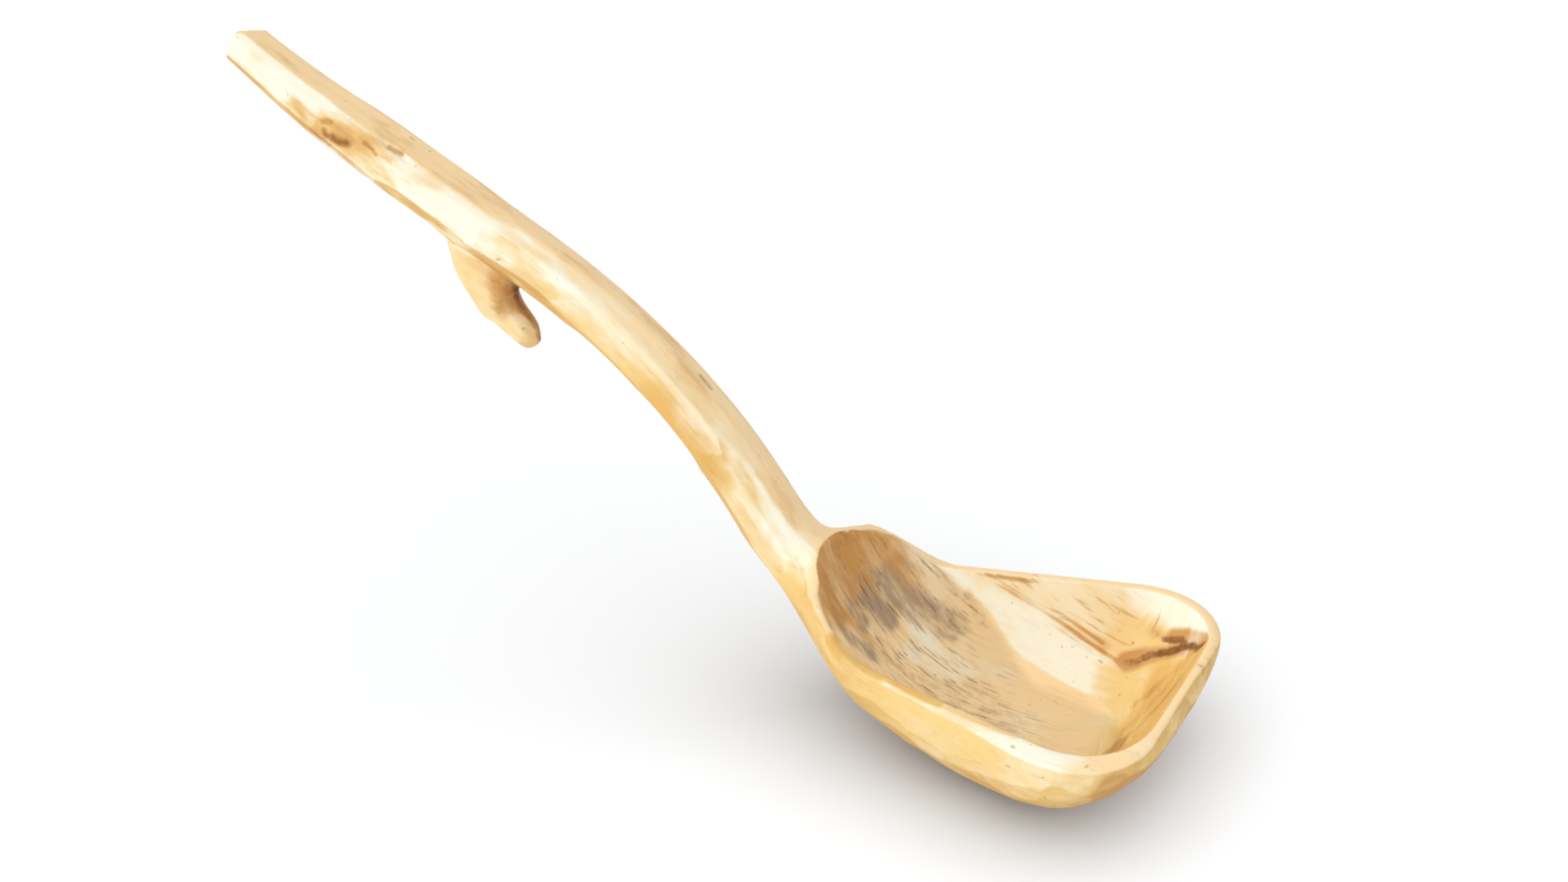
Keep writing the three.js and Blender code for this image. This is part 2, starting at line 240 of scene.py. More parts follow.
# Strokes of other colour in the wood: strength, width, and the places (back, across, above) that each
# one runs through
STROKES = {
    # On the handle
    "grip knot": (
        (0.6, 0.0080, (0.3715, -0.0079, -0.0012), (0.3600, -0.0084, -0.0006), (0.3505, -0.0082, 0.0022)),
        (0.6, 0.0072, (0.3505, -0.0082, 0.0022), (0.3420, -0.0078, 0.0050), (0.3335, -0.0066, 0.0066)),
        (0.9, 0.0072, (0.3715, -0.0079, -0.0012), (0.3655, -0.0082, -0.0012), (0.3600, -0.0084, -0.0010)),
        (0.9, 0.0062, (0.3590, -0.0084, 0.0010), (0.3545, -0.0083, 0.0016), (0.3505, -0.0082, 0.0024)),
        (0.75, 0.0062, (0.3450, -0.0082, 0.0046), (0.3400, -0.0076, 0.0058), (0.3335, -0.0062, 0.0070)),
    ),
    "grip swirl": (
        (0.6, 0.0018, (0.3605, -0.0083, 0.0022), (0.3583, -0.0080, 0.0036)),
        (1.0, 0.0017, (0.3588, -0.0085, -0.0008), (0.3575, -0.0085, -0.0019), (0.3551, -0.0084, -0.0010)),
        (1.2, 0.0024, (0.3551, -0.0084, -0.0010), (0.3522, -0.0084, -0.0007), (0.3500, -0.0083, 0.0006)),
        (0.8, 0.0014, (0.3443, -0.0082, 0.0050), (0.3412, -0.0080, 0.0050), (0.3392, -0.0080, 0.0040)),
        (0.6, 0.0014, (0.3368, -0.0060, 0.0078), (0.3322, -0.0055, 0.0080)),
    ),
    "handle spots": (
        (1.0, 0.003, (0.362, -0.008, -0.005), (0.356, -0.008, -0.006)),
        (1.0, 0.003, (0.211, 0.002, 0.010), (0.207, 0.002, 0.010)),
        (0.5, 0.003, (0.190, -0.008, 0.003), (0.186, -0.008, 0.003)),
    ),
    # Painted shade: brown in the hook's recess beside its gap, under the shank
    "hook pocket shade": (
        (1.0, 0.0065, (0.2815, -0.003, -0.0125), (0.279, 0.0, -0.018)),
        (0.65, 0.0090, (0.282, -0.004, -0.013), (0.278, -0.003, -0.021)),
    ),
    # Painted shade along the hook's edge beside its gap and round its tip
    "hook edge shade": (
        (1.0, 0.0028, (0.2775, 0.0005, -0.0170), (0.270, 0.0005, -0.0225), (0.2627, 0.0002, -0.0269)),
        (0.8, 0.0025, (0.2627, 0.0002, -0.0269), (0.2622, -0.0024, -0.0291), (0.2656, -0.0042, -0.0295)),
    ),
    # A painted highlight along the hook's ridge, and its lower face painted paler where the light falls on it
    "hook highlight": (
        (0.6, 0.0035, (0.287, -0.006, -0.012), (0.2835, -0.0055, -0.0185), (0.280, -0.005, -0.024)),
        (1.0, 0.0065, (0.274, -0.0038, -0.0245), (0.2655, -0.0035, -0.0275)),
    ),
    "bend": (
        (1.0, 0.022, (0.206, -0.010, -0.003), (0.190, -0.010, -0.006)),
    ),
    # On the rim and the lip
    "rim band": (
        (1.0, 0.0048, (0.114, -0.0308, 0.0060), (0.108, -0.0304, 0.0036), (0.1005, -0.0314, 0.0018),
         (0.0945, -0.0326, 0.0012)),
        (0.9, 0.0026, (0.0945, -0.0326, 0.0012), (0.083, -0.0363, 0.0010), (0.071, -0.0390, 0.0010)),
        (0.5, 0.0022, (0.071, -0.0390, 0.0010), (0.055, -0.0422, 0.0010), (0.042, -0.0445, 0.0010)),
    ),
    "flame": (
        (1.0, 0.003, (0.1145, -0.0305, 0.005), (0.1115, -0.0325, 0.0), (0.106, -0.0345, -0.003)),
        (1.0, 0.003, (0.109, -0.033, 0.0025), (0.104, -0.0345, 0.0), (0.098, -0.0355, -0.002)),
    ),
    "lip spots": (
        (1.0, 0.003, (0.006, 0.0225, 0.002), (0.001, 0.0205, 0.002)),
        (1.0, 0.003, (0.005, 0.016, 0.002), (0.0, 0.0145, 0.002)),
    ),
    # In the hollow
    "beige": (
        (1.0, 0.014, (0.098, 0.011, -0.019), (0.089, 0.0125, -0.0225)),
    ),
    # Grey stain on the floor of the hollow, with painted shade on the far wall; it shows only on the shaded
    # side
    "grey_stain_and_shade": (
        (1.0, 0.026, (0.116, 0.004, -0.002), (0.100, 0.002, -0.017), (0.080, 0.0, -0.027),
         (0.066, -0.006, -0.029)),
        (0.9, 0.013, (0.106, 0.024, 0.001), (0.098, 0.026, -0.005), (0.088, 0.027, -0.010)),
    ),
    "cloud": (
        (0.85, 0.008, (0.115, 0.0155, -0.0005), (0.109, 0.0165, -0.0045), (0.099, 0.021, -0.012),
         (0.092, 0.022, -0.016)),
        (1.0, 0.006, (0.1165, 0.006, -0.003), (0.109, 0.0075, -0.009)),
        (1.0, 0.006, (0.118, -0.020, 0.004), (0.113, -0.018, -0.001), (0.107, -0.011, -0.0095)),
        (0.6, 0.005, (0.1185, -0.003, -0.002), (0.1135, -0.003, -0.006)),
    ),
    "back edge": (
        (1.0, 0.010, (0.135, 0.0125, 0.013), (0.137, 0.005, 0.0105), (0.133, -0.004, 0.0075),
         (0.128, -0.0105, 0.0065)),
        (1.0, 0.008, (0.128, -0.0105, 0.0065), (0.119, -0.019, 0.0045)),
    ),
    # A painted shade line along the outer edge of the far rim
    "far rim shade line": (
        (1.0, 0.0013, (0.089, 0.0340, 0.0005), (0.077, 0.0370, 0.0003), (0.064, 0.0400, 0.0003),
         (0.054, 0.0425, 0.0003)),
    ),
    "streaks": (
        (1.0, 0.0011, (0.092, 0.0345, 0.001), (0.0778, 0.0347, -0.0035), (0.069, 0.0352, -0.0072),
         (0.059, 0.0357, -0.0112)),
        (1.0, 0.0011, (0.059, 0.0357, -0.0112), (0.050, 0.0353, -0.0152), (0.041, 0.0349, -0.019),
         (0.0357, 0.034, -0.0204)),
        (0.8, 0.0010, (0.086, 0.035, 0.001), (0.069, 0.0358, -0.0060), (0.059, 0.037, -0.0088),
         (0.0435, 0.0367, -0.016)),
        (0.7, 0.0009, (0.064, 0.0341, -0.0112), (0.053, 0.0341, -0.0158), (0.046, 0.0340, -0.0186)),
        (0.7, 0.0009, (0.057, 0.0380, -0.0078), (0.048, 0.0385, -0.0110), (0.040, 0.0384, -0.0140)),
        (0.5, 0.0018, (0.082, 0.036, 0.001), (0.071, 0.038, -0.001), (0.062, 0.0385, -0.005)),
    ),
    "halo": (
        (1.0, 0.0052, (0.0339, 0.0346, -0.0198), (0.0283, 0.0363, -0.0171), (0.0234, 0.0372, -0.0142),
         (0.0177, 0.0366, -0.0107), (0.0105, 0.0340, -0.0047)),
        (1.0, 0.0056, (0.0200, 0.0402, -0.0085), (0.0145, 0.0387, -0.0056), (0.0108, 0.0364, -0.0033),
         (0.0065, 0.0322, 0.0001)),
        (0.5, 0.0045, (0.0274, 0.0424, -0.0099), (0.0229, 0.0405, -0.0104)),
        (0.3, 0.0050, (0.060, 0.0365, -0.0095), (0.044, 0.0360, -0.0165)),
    ),
    "knot": (
        (1.0, 0.0027, (0.0105, 0.0340, -0.0047), (0.0148, 0.0364, -0.0081), (0.0177, 0.0366, -0.0107),
         (0.0234, 0.0372, -0.0142)),
        (0.85, 0.0025, (0.0234, 0.0372, -0.0142), (0.0263, 0.0370, -0.0157), (0.0283, 0.0363, -0.0171)),
        (0.7, 0.0023, (0.0283, 0.0363, -0.0171), (0.0308, 0.0352, -0.0188), (0.0339, 0.0346, -0.0198)),
        (0.9, 0.0023, (0.0229, 0.0405, -0.0104), (0.0200, 0.0398, -0.0093)),
        (0.85, 0.0026, (0.0200, 0.0398, -0.0093), (0.0164, 0.0388, -0.0075), (0.0143, 0.0367, -0.0073)),
        (0.5, 0.0020, (0.0274, 0.0424, -0.0099), (0.0229, 0.0405, -0.0104)),
        (0.9, 0.0024, (0.0105, 0.0340, -0.0047), (0.0081, 0.0309, -0.0030), (0.0060, 0.0300, 0.0)),
    ),
    "fan": (
        (1.0, 0.0030, (0.010, 0.031, -0.0065), (0.0135, 0.0295, -0.0117), (0.018, 0.028, -0.017),
         (0.0255, 0.019, -0.025)),
        (1.0, 0.0036, (0.0095, 0.030, -0.006), (0.0133, 0.026, -0.013), (0.017, 0.0195, -0.018),
         (0.022, 0.005, -0.023)),
        (1.1, 0.0044, (0.009, 0.017, -0.0075), (0.0137, 0.0075, -0.0145), (0.0168, 0.0015, -0.018),
         (0.0195, -0.0035, -0.021)),
        (1.4, 0.0060, (0.0205, -0.004, -0.0217), (0.023, -0.009, -0.023)),
    ),
    "patch": (
        (1.0, 0.0025, (0.0605, 0.026, -0.022), (0.0545, 0.0255, -0.024)),
    ),
}

SEED = 7
rng = np.random.default_rng(SEED)


# The bent middle line, and the straight coordinates that run along it

def bent_line():
    """Points and slopes along the middle line, one every LINE_STEP."""
    heel = HEEL_RADIUS * math.radians(NECK_SLOPE)
    bend = BEND_RADIUS * math.radians(NECK_SLOPE - GRIP_SLOPE)
    stretches = (
        (RIM_LENGTH, 0),
        (heel, 1 / HEEL_RADIUS),
        (NECK_STRAIGHT, 0),
        (bend, -1 / BEND_RADIUS),
        (GRIP_STRAIGHT, 0),
        (SWEEP_LENGTH, 1 / SWEEP_RADIUS),
    )
    turn = np.concatenate([np.full(round(length / LINE_STEP), bow) for length, bow in stretches])
    slope = (np.cumsum(turn) - turn / 2) * LINE_STEP
    x = LIP_REACH - np.cumsum(np.cos(slope)) * LINE_STEP
    z = RIM_HEIGHT + np.cumsum(np.sin(slope)) * LINE_STEP
    return x, z, slope


LINE_X, LINE_Z, LINE_SLOPE = bent_line()


def line_at(back):
    """The place on the middle line, its direction there and the direction above it."""
    i = round(back / LINE_STEP) - 1
    slope = LINE_SLOPE[i]
    forward = Vector((-math.cos(slope), 0, math.sin(slope)))
    above = Vector((math.sin(slope), 0, math.cos(slope)))
    return Vector((LINE_X[i], 0, LINE_Z[i])) + forward * (back - (i + 1) * LINE_STEP), forward, above


def hook_root():
    """The middle of the hook's root, and the direction from there into the handle."""
    place, _, above = line_at(HOOK_MIDDLE)
    return place - above * HOOK_BELOW, above


def along_grain(points):
    """Straight coordinates of the points (back from the lip, across, above the line), and the slope there."""
    near = np.empty(len(points), int)
    for i in range(0, len(points), 4000):
        part = points[i:i + 4000]
        gap = (part[:, :1] - LINE_X) ** 2 + (part[:, 2:] - LINE_Z) ** 2
        near[i:i + 4000] = gap.argmin(1)
    slope = LINE_SLOPE[near]
    x = points[:, 0] - LINE_X[near]
    z = points[:, 2] - LINE_Z[near]
    back = (near + 1) * LINE_STEP - x * np.cos(slope) + z * np.sin(slope)
    above = x * np.sin(slope) + z * np.cos(slope)
    return np.stack([back, points[:, 1], above], 1), slope


def turn_over(vectors, slope):
    """Directions turned from the row frame into the straight coordinates, or back: it is its own inverse."""
    back = -vectors[:, 0] * np.cos(slope) + vectors[:, 2] * np.sin(slope)
    above = vectors[:, 0] * np.sin(slope) + vectors[:, 2] * np.cos(slope)
    return np.stack([back, vectors[:, 1], above], 1)


def smooth_step(low, high, value):
    """0 below low, 1 above high, and an S-curve between them."""
    t = np.clip((value - low) / (high - low), 0, 1)
    return t * t * (3 - 2 * t)


# Mesh helpers

def read_points(mesh):
    points = np.empty(len(mesh.vertices) * 3)
    mesh.vertices.foreach_get("co", points)
    return points.reshape(-1, 3)


def write_points(mesh, points):
    mesh.vertices.foreach_set("co", points.ravel())
    mesh.update()


def read_normals(mesh):
    normals = np.empty(len(mesh.vertices) * 3)
    mesh.vertex_normals.foreach_get("vector", normals)
    return normals.reshape(-1, 3)


def read_edges(mesh):
    edges = np.empty(len(mesh.edges) * 2, int)
    mesh.edges.foreach_get("vertices", edges)
    return edges.reshape(-1, 2)


def neighbour_mean(values, edges):
    """The mean of every point's neighbours."""
    a, b = edges.T
    count = np.bincount(edges.ravel(), minlength=len(values))
    total = [
        np.bincount(a, column[b], len(values)) + np.bincount(b, column[a], len(values))
        for column in values.T
    ]
    return np.stack(total, 1) / np.maximum(count, 1)[:, None]


def blurred(values, edges, rounds):
    """The values, drawn halfway to the mean of their neighbours over and over."""
    for _ in range(rounds):
        values = 0.5 * values + 0.5 * neighbour_mean(values, edges)
    return values


def soften(points, edges, rounds, weight):
    """The points, drawn towards their neighbours as far as their weight says."""
    for _ in range(rounds):
        points = points + 0.5 * weight[:, None] * (neighbour_mean(points, edges) - points)
    return points


# One block of wood from all the solids

def melted_block():
    """The solids grown over their seams and wrapped in one even skin."""
    bm = bmesh.new()
    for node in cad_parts.values():
        bm.from_mesh(node.data)
    bmesh.ops.remove_doubles(bm, verts=bm.verts, dist=1e-6)
    bm.normal_update()
    for vert in bm.verts:
        vert.co += vert.normal * GROW
    mesh = bpy.data.meshes.new("block")
    bm.to_mesh(mesh)
    bm.free()
    block = bpy.data.objects.new("block", mesh)
    bpy.context.collection.objects.link(block)
    wrap = block.modifiers.new("skin", "REMESH")
    wrap.mode = "VOXEL"
    wrap.voxel_size = VOXEL
    shaped = block.evaluated_get(bpy.context.evaluated_depsgraph_get())
    skin = bpy.data.meshes.new_from_object(shaped)
    bpy.data.objects.remove(block)
    return skin


def on_handle(grain):
    """1 on the handle, 0 on the bowl."""
    return smooth_step(*HANDLE_FROM, grain[:, 0])


def grip_like(back):
    """1 on the grip, 0 on the shank and below."""
    return smooth_step(*GRIP_LIKE, back)


def gap_side(facing):
    """1 where the hook faces straight into its gap, -1 where it faces away."""
    return GAP_RISE * facing[:, 2] - GAP_FORWARD * facing[:, 0]


def is_inside(points, normals):
    """1 on the hollow of the bowl, 0 on its outside and on the handle."""
    out = points - np.array(HOLLOW_MIDDLE)
    facing = (out * normals).sum(1) / np.linalg.norm(out, axis=1)
    return smooth_step(0.05, -0.25, facing) * (points[:, 0] > HOLLOW_BACK)


def smooth_block(skin):
    """Rounds the edges a little, and takes the flat panels out of the bowl."""
    edges = read_edges(skin)
    points = read_points(skin)
    points = soften(points, edges, FIRST_ROUNDS, np.ones(len(points)))
    write_points(skin, points)
    normals = read_normals(skin)
    bowl = 1 - on_handle(along_grain(points)[0])
    points = points - normals * GROW * bowl[:, None]
    smooth = smooth_step(*FLATNESS, np.linalg.norm(blurred(normals, edges, EDGE_ROUNDS), axis=1))
    points = soften(points, edges, LATER_ROUNDS, smooth * (0.08 + 0.92 * bowl))
    thick = np.maximum(smooth_step(0.0, -0.02, points[:, 1]), smooth_step(0.02, 0.04, points[:, 0]))
    write_points(skin, soften(points, edges, RIM_ROUNDS, bowl * thick * (1 - smooth)))


# Knife facets

def cut_plane(place, facing, points, normals, depth, length, width):
    """How far every point has to go in to lie on a flat cut through place, which fades out at its ends."""
    off = points - place
    over = off @ facing + depth
    fade = (off[:, 0] / length) ** 4 + ((off[:, 1] ** 2 + off[:, 2] ** 2) / width ** 2) ** 2
    over = over - CUT_FADE * depth * fade
    lean = normals @ facing
    return np.where(lean > CUT_FACING, over / np.maximum(lean, CUT_FACING), 0)


class Cuts:
    """How far every point goes in, and the tone of the facet that it lands on."""

    def __init__(self, count):
        self.inward = np.zeros(count)
        self.tone = np.full(count, 0.5)

    def add(self, inward, rows=slice(None)):
        """A new facet: it counts wherever it goes deeper than the ones before."""
        deeper = inward > self.inward[rows]
        tone = rng.uniform()
        self.tone[rows] = np.where(deeper, tone, self.tone[rows])
        self.inward[rows] = np.where(deeper, inward, self.inward[rows])


def long_cut(cuts, grain, normals, wood, middle, turn, depth, length, share):
    """A flat cut along the handle, measured on the wood; share says how much of it every point takes."""
    facing = np.array([0, math.cos(math.radians(turn)), math.sin(math.radians(turn))])
    band = np.flatnonzero(wood & (abs(grain[:, 0] - middle) < CUT_BAND))
    reach = grain[band] @ facing
    facing[0] = normals[band[reach > reach.max() - CUT_SKIM], 0].mean()
    facing /= np.linalg.norm(facing)
    place = grain[band[reach.argmax()]]
    cuts.add(share * cut_plane(place, facing, grain, normals, depth, length, CUT_WIDTH))


def handle_cuts(cuts, grain, normals):
    """Long flat cuts on the four sides of the handle, narrower ones between them, and some broad ones."""
    wood = grain[:, 2] > -HOOK_BELOW
    share = on_handle(grain) * smooth_step(-HOOK_BELOW - 0.003, -HOOK_BELOW + 0.0016, grain[:, 2])
    for turn in FLATS + BEVELS:
        deep = FLAT_DEPTH if turn in FLATS else BEVEL_DEPTH
        for middle in np.arange(FIRST_CUT, LAST_CUT, -CUT_PITCH) - rng.uniform(0, 0.4 * CUT_PITCH):
            if turn == UNDER and abs(middle - HOOK_MIDDLE) < UNCUT_BY_HOOK:
                continue
            lean = SHANK_LEAN * (1 - grip_like(middle)) if turn in LEANING else 0
            askew = turn - lean + rng.uniform(-7, 7)
            length = CUT_PITCH * rng.uniform(0.8, 1.1)
            long_cut(cuts, grain, normals, wood, middle, askew, deep * rng.uniform(0.75, 1.25), length, share)
    for middle, turn, depth, length in BROAD_CUTS:
        long_cut(cuts, grain, normals, wood, middle, turn, depth, length, share)


def cut_hook(points, grain):
    """The points after flat cuts along the hook and a scoop beside its gap."""
    root = np.array(hook_root()[0])
    along = Vector(HOOK_RUN).normalized()
    right = Vector((0, -1, 0))
    axes = np.array([along, right, right.cross(along)])
    coords = (points - root) @ axes.T
    hook = (grain[:, 2] < -HOOK_BELOW) & (abs(grain[:, 0] - HOOK_MIDDLE) < HOOK_AROUND)
    share = hook * smooth_step(-HOOK_BELOW, -HOOK_BELOW - 0.004, grain[:, 2])
    for middle, turn, lean, depth in HOOK_CUTS:
        turn = math.radians(turn)
        lean = math.radians(lean)
        facing = np.array([math.sin(lean), math.cos(lean) * math.cos(turn), math.cos(lean) * math.sin(turn)])
        beside = abs(coords[:, 0] - middle)
        over = coords @ facing - (coords[hook & (beside < CUT_BAND)] @ facing).max() + depth
        push = share * smooth_step(1.0, 0.6, beside / HOOK_CUT_LENGTH) * np.clip(over, 0, 2.5 * depth)
        coords = coords - push[:, None] * facing
    out = coords - np.array(HOOK_SCOOP)
    gap = np.linalg.norm(out, axis=1)
    coords = coords + (share * np.maximum(HOOK_SCOOP_RADIUS - gap, 0) / gap)[:, None] * out
    return root + coords @ axes


def scatter(points, pitch):
    """Numbers of points picked in random order, none closer together than the pitch."""
    chosen = []
    for i in rng.permutation(len(points)):
        if not chosen or (np.linalg.norm(points[chosen] - points[i], axis=1) > pitch).all():
            chosen.append(i)
    return chosen


def bowl_cuts(cuts, points, normals, outside, share):
    """Small flat cuts all over the outside of the bowl."""
    rows = np.flatnonzero(outside)
    points = points[rows]
    normals = normals[rows]
    for i in scatter(points[::BOWL_CUT_STEP], BOWL_CUT_PITCH):
        place = points[BOWL_CUT_STEP * i]
        near = np.linalg.norm(points - place, axis=1) < 0.6 * BOWL_CUT_REACH
        facing = normals[near].mean(0)
        facing /= np.linalg.norm(facing)
        depth = BOWL_CUT_DEPTH * rng.uniform(0.6, 1.3)
        reach = BOWL_CUT_REACH * rng.uniform(0.8, 1.2)
        cut = cut_plane(place, facing, points, normals, depth, reach, reach)
        cuts.add(share[rows] * np.minimum(cut, 2 * depth), rows)


def swell(grain, facing):
    """How far the handle grows before it is cut: everywhere a little, more round the root of the hook."""
    back, _, above = grain.T
    near = smooth_step(0.250, 0.262, back) * smooth_step(0.332, 0.322, back)
    side = smooth_step(-0.95, -0.55, facing[:, 2]) * smooth_step(0.95, 0.55, abs(facing[:, 1]))
    hook = near * side * smooth_step(-0.026, -0.012, above) * smooth_step(-0.0085, -0.0115, above)
    root = smooth_step(0.314, 0.302, back) * smooth_step(0.290, 0.302, back)
    root = root * smooth_step(-0.004, -0.009, above)
    end = smooth_step(0.360, 0.400, back)
    inner = gap_side(facing)
    low = near * smooth_step(-0.012, -0.016, above)
    gap = low * smooth_step(0.1, 0.6, inner) * smooth_step(-0.032, -0.022, above)
    outer = low * smooth_step(-0.1, -0.6, inner) * smooth_step(-0.038, -0.020, above)
    outer = outer * smooth_step(0.302, 0.288, back)
    grown = HANDLE_GROW * (1 + end) * on_handle(grain)
    return grown + HOOK_SWELL * hook + ROOT_SWELL * root * (1 - hook) + GAP_SWELL * gap + OUTER_SWELL * outer


def cut_end(points):
    """The points after the grip's end is stretched a little and cut off by two slanted planes."""
    grain, slope = along_grain(points)
    rise = END_RISE[0] * grain[:, 1] + END_RISE[1] * grain[:, 2]
    end = GRIP_END + np.minimum(END_SLANT * rise, END_CHAMFER - rise)
    past = END_STRETCH * smooth_step(*END_FROM, grain[:, 0])
    past = past + np.minimum(end - grain[:, 0] - past, 0)
    points[:, 0] -= past * np.cos(slope)
    points[:, 2] += past * np.sin(slope)
    return points


def carve(skin):
    """Cuts the facets into the smooth block and keeps it in the box of the solids."""
    points = read_points(skin)
    normals = read_normals(skin)
    grain, slope = along_grain(points)
    points = points + normals * swell(grain, turn_over(normals, slope))[:, None]
    grain, slope = along_grain(points)
    wall = (1 - is_inside(points, normals)) * smooth_step(0.75, 0.35, normals[:, 2])
    outside = (wall > 0.3) & (grain[:, 0] < BOWL_CUT_BACK) & (points[:, 2] > BASE_CLEAR)
    cuts = Cuts(len(points))
    handle_cuts(cuts, grain, turn_over(normals, slope))
    bowl_cuts(cuts, points, normals, outside, wall * (1 - on_handle(grain)))
    points = cut_hook(points - normals * cuts.inward[:, None], grain)
    points = cut_end(points)
    points = soften(points, read_edges(skin), 1, np.ones(len(points)))
    write_points(skin, np.clip(points, cad_low, cad_high))
    skin.attributes.new("tone", "FLOAT", "POINT").data.foreach_set("value", cuts.tone)


# Parting the block at the seams

def slice_skin(skin):
    """New edges in the skin along every seam."""
    bm = bmesh.new()
    bm.from_mesh(skin)
    for seam in SEAMS:
        place, forward, _ = line_at(seam)
        everything = bm.verts[:] + bm.edges[:] + bm.faces[:]
        bmesh.ops.bisect_plane(bm, geom=everything, plane_co=place, plane_no=forward)
    root, above = hook_root()
    faces = []
    for face in bm.faces:
        off = face.calc_center_median() - root
        if off.length < ROOT_REACH and abs(off.dot(above)) < ROOT_BAND:
            faces.append(face)
    edges = {edge for face in faces for edge in face.edges}
    verts = {vert for face in faces for vert in face.verts}
    bmesh.ops.bisect_plane(bm, geom=[*verts, *edges, *faces], plane_co=root, plane_no=above)
    bm.to_mesh(skin)
    bm.free()


def largest_patch(skin, chosen):
    """Of the chosen faces, the largest set that hangs together."""
    bm = bmesh.new()
    bm.from_mesh(skin)
    bm.faces.ensure_lookup_table()
    waiting = set(np.flatnonzero(chosen))
    largest = []
    while waiting:
        patch = [waiting.pop()]
        for number in patch:
            for edge in bm.faces[number].edges:
                beside = {face.index for face in edge.link_faces} & waiting
                waiting -= beside
                patch.extend(beside)
        largest = max(largest, patch, key=len)
    bm.free()
    return np.isin(np.arange(len(chosen)), largest)


def region_numbers(skin):
    """The number in REGIONS of every face's region."""
    middles = np.array([face.center for face in skin.polygons])
    number = np.zeros(len(middles), int)
    for seam in SEAMS:
        place, forward, _ = line_at(seam)
        number += (middles - place) @ forward > 0
    root, above = hook_root()
    near = np.linalg.norm(middles - root, axis=1) < HOOK_AROUND
    hook = ((middles - root) @ above < 0) & near & (number == REGIONS.index("shank"))
    return np.where(largest_patch(skin, hook), REGIONS.index("hook"), number)


def part_off(skin, name, faces, normals, grain, masks):
    """A closed piece from some of the skin's faces, shaded and painted like the whole skin."""
    used = sorted({v for face in faces for v in face})
    new = {old: i for i, old in enumerate(used)}
    mesh = bpy.data.meshes.new(name)
    mesh.from_pydata([skin.vertices[v].co for v in used], [], [[new[v] for v in face] for face in faces])
    bm = bmesh.new()
    bm.from_mesh(mesh)
    bmesh.ops.holes_fill(bm, edges=[edge for edge in bm.edges if edge.is_boundary], sides=0)
    bm.to_mesh(mesh)
    bm.free()
    shading = []
    for i, face in enumerate(mesh.polygons):
        face.use_smooth = i < len(faces)
        for v in face.vertices:
            shading.append(normals[used[v]] if i < len(faces) else face.normal)
    mesh.normals_split_custom_set(shading)
    mesh.attributes.new("grain", "FLOAT_VECTOR", "POINT").data.foreach_set("vector", grain[used].ravel())
    for mask, values in masks.items():
        mesh.attributes.new(mask, "FLOAT", "POINT").data.foreach_set("value", values[used])
    return bpy.data.objects.new(name, mesh)


def parted(skin):
    """The names of the regions, each with its piece."""
    slice_skin(skin)
    normals = read_normals(skin)
    grain, masks = figure(read_points(skin), normals, read_edges(skin))
    masks["tone"] = np.empty(len(skin.vertices))
    skin.attributes["tone"].data.foreach_get("value", masks["tone"])
    number = region_numbers(skin)
    faces = [tuple(face.vertices) for face in skin.polygons]
    for i, name in enumerate(REGIONS):
        own = [faces[k] for k in np.flatnonzero(number == i)]
        yield name, part_off(skin, "carved_" + name, own, normals, grain, masks)


# The figure of the wood, painted on the points as soft masks

def line(grain, width, *stops):
    """1 on a line through the stops, falling to 0 at the width."""
    nearest = np.full(len(grain), 1.0)
    for start, end in zip(stops, stops[1:]):
        start = np.array(start)
        run = np.array(end) - start
        t = np.clip((grain - start) @ run / (run @ run), 0, 1)
        nearest = np.minimum(nearest, np.linalg.norm(grain - start - t[:, None] * run, axis=1))
    return smooth_step(width, 0.25 * width, nearest)


def strokes(grain, name):
    """All the strokes of that name together; where they cross, the stronger one shows."""
    drawn = [strength * line(grain, width, *stops) for strength, width, *stops in STROKES[name]]
    return np.max(drawn, axis=0)


